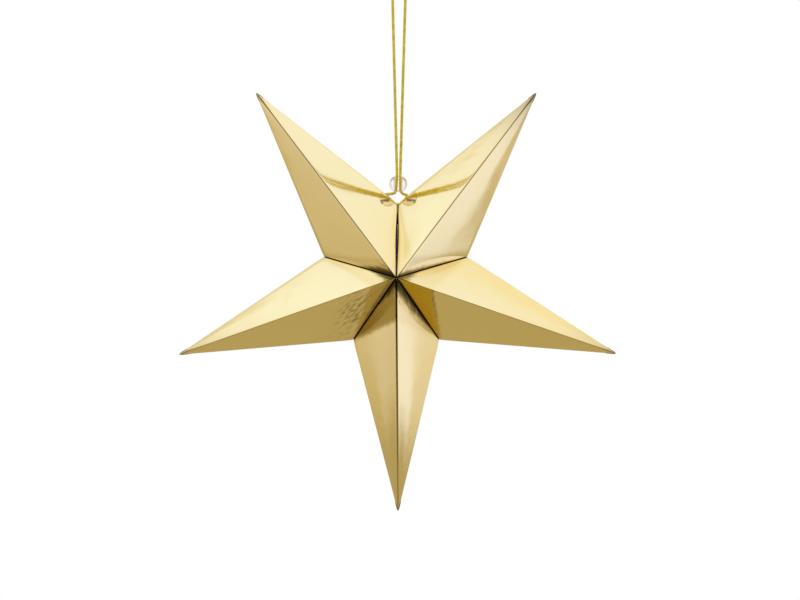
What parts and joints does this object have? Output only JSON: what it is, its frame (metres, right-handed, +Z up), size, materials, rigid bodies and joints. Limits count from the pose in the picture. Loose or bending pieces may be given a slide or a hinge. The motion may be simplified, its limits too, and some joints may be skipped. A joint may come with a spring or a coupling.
{
  "type": "hanging folded paper star",
  "caption": "Hanging five-pointed star of folded gold foil card, closed and hung by a doubled gold cord through a clear bead.",
  "frame": {"origin": "the place inside the top of the cord loop that rests on the hook", "axes": "+Z up along the taut cord, +X to the star's right as seen from the front, -Y out of the front; the star is upright"},
  "size_m": [0.2977, 0.115, 0.3923],
  "materials": {
    "gold_card": "mirror-like gold foil on thin card",
    "gold_cord": "twisted metallic thread",
    "clear_bead": "clear polished acrylic"
  },
  "bodies": {
    "root": {"ray_upper_left": "gold_card", "ray_upper_right": "gold_card", "ray_lower_right": "gold_card", "ray_bottom": "gold_card", "ray_lower_left": "gold_card", "hanging_cord": "gold_cord", "cord_knot": "gold_cord", "bead": "clear_bead"}
  },
  "joints": []
}
